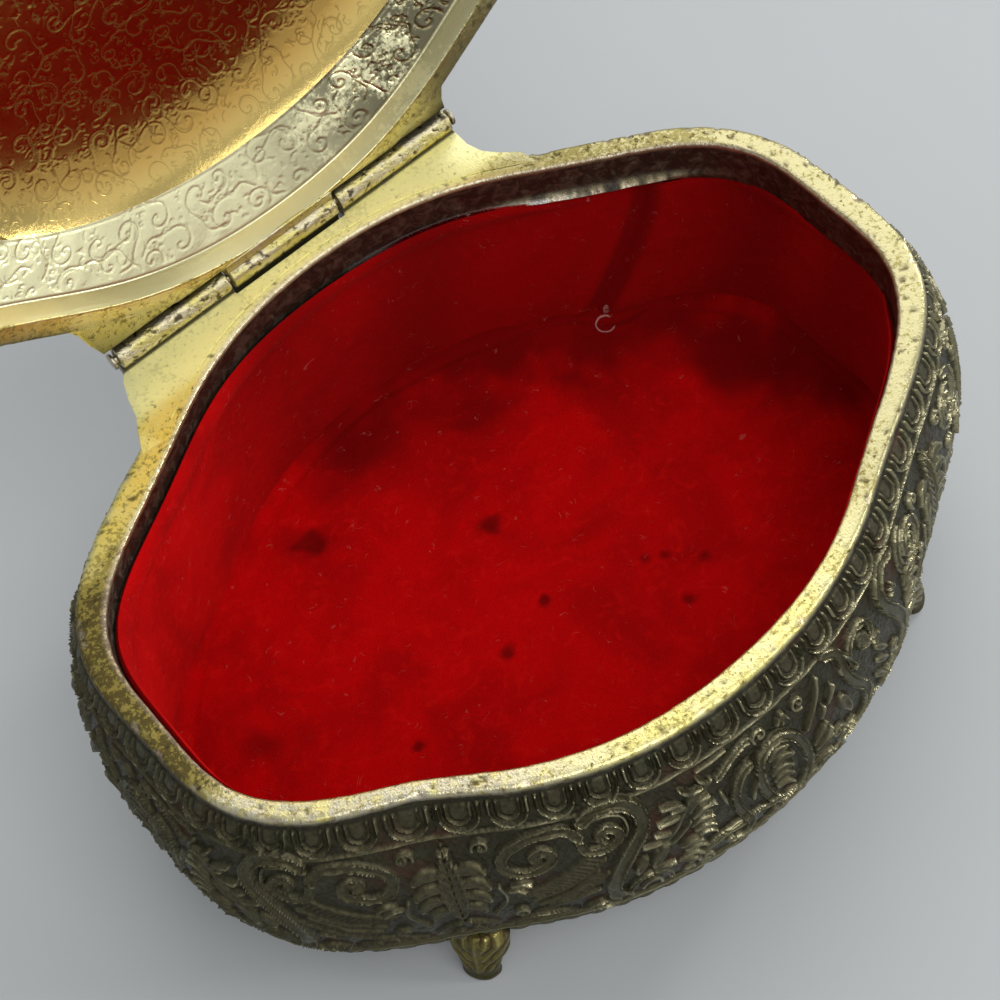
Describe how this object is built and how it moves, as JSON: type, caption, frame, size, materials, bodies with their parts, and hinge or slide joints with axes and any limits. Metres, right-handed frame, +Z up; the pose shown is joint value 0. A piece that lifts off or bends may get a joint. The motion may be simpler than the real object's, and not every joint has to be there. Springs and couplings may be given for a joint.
{
  "type": "trinket box",
  "caption": "Small cast metal casket with a bulged, waisted oval body, a hinged domed lid standing open, splayed leaf feet and a red velvet lining.",
  "frame": {"origin": "on the surface the box stands on, under the middle of its bounding box with the lid open", "axes": "+Z up, +X along the hinge to the right seen from the front, +Y from the front to the hinge side"},
  "size_m": [0.1148, 0.103, 0.1296],
  "materials": {
    "dark_casting": "white-metal casting, silver plate tarnished dark, relief all round, gilded rim and hinge leaf",
    "gilt_casting": "bright old gilding inside, tarnished relief outside",
    "foot_gilding": "worn olive gilding on a casting",
    "pin_steel": "dull drawn wire",
    "red_velvet": "cotton velvet, short pile",
    "grey_card": "raw grey board"
  },
  "bodies": {
    "box": {"body_shell": "dark_casting", "hinge_pin": "pin_steel", "front_left_foot": "foot_gilding", "front_right_foot": "foot_gilding", "back_left_foot": "foot_gilding", "back_right_foot": "foot_gilding", "floor_card": "grey_card", "wall_card": "grey_card", "velvet_floor": "red_velvet", "velvet_wall": "red_velvet"},
    "lid": {"lid_shell": "gilt_casting"}
  },
  "joints": [
    {"name": "lid_hinge", "type": "hinge", "parent": "box", "child": "lid", "pos_m": [0, 0.0353, 0.0458], "axis": [1, 0, 0], "range_deg": [0, 95]}
  ]
}
